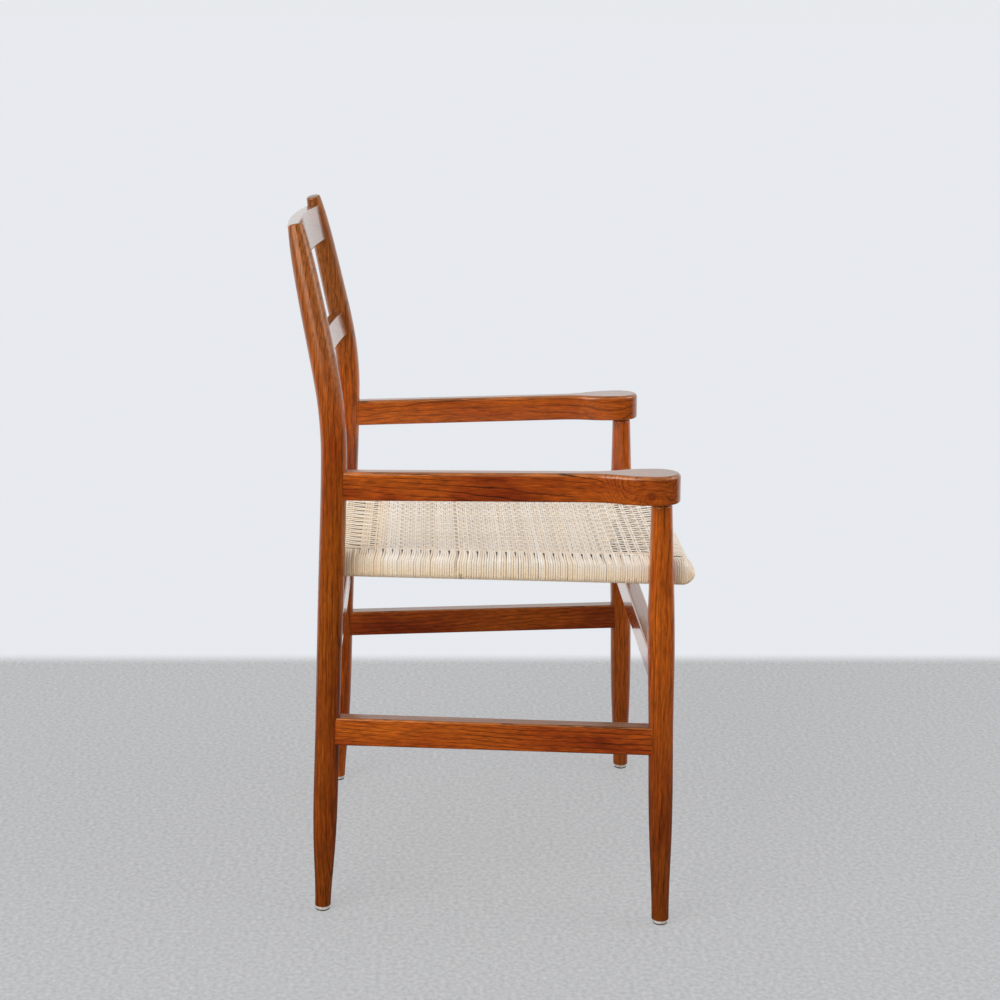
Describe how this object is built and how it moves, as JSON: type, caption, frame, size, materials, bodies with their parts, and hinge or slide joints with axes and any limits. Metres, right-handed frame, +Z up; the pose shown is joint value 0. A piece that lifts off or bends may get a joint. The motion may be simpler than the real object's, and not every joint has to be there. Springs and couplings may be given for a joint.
{
  "type": "dining armchair",
  "caption": "Wooden dining armchair with turned legs, paddle arms, slatted back and a flat seat of hand-woven rattan cane on a hidden frame.",
  "frame": {"origin": "on the floor, below the middle of the chair's box", "axes": "+Z up, -Y is the way the sitter faces, +X is the sitter's left"},
  "size_m": [0.5512, 0.4918, 0.8509],
  "materials": {
    "teak": "satin lacquer over reddish-brown hardwood",
    "cane": "natural peeled rattan strands",
    "frame_wood": "plain sanded wood, hidden in the seat",
    "glide_plastic": "matt pale plastic",
    "nail_steel": "plain steel"
  },
  "bodies": {
    "root": {"left_back_leg": "teak", "right_back_leg": "teak", "left_front_leg": "teak", "right_front_leg": "teak", "left_arm": "teak", "right_arm": "teak", "top_slat": "teak", "lower_slat": "teak", "left_side_stretcher": "teak", "right_side_stretcher": "teak", "front_stretcher": "teak", "back_stretcher": "teak", "left_seat_rail": "frame_wood", "right_seat_rail": "frame_wood", "front_seat_rail": "frame_wood", "rear_seat_rail": "frame_wood", "woven_panel": "cane", "left_cane_wrap": "cane", "right_cane_wrap": "cane", "front_cane_wrap": "cane", "rear_cane_wrap": "cane", "seat_dowels": "frame_wood", "foot_glides": "glide_plastic", "glide_nails": "nail_steel"}
  },
  "joints": []
}
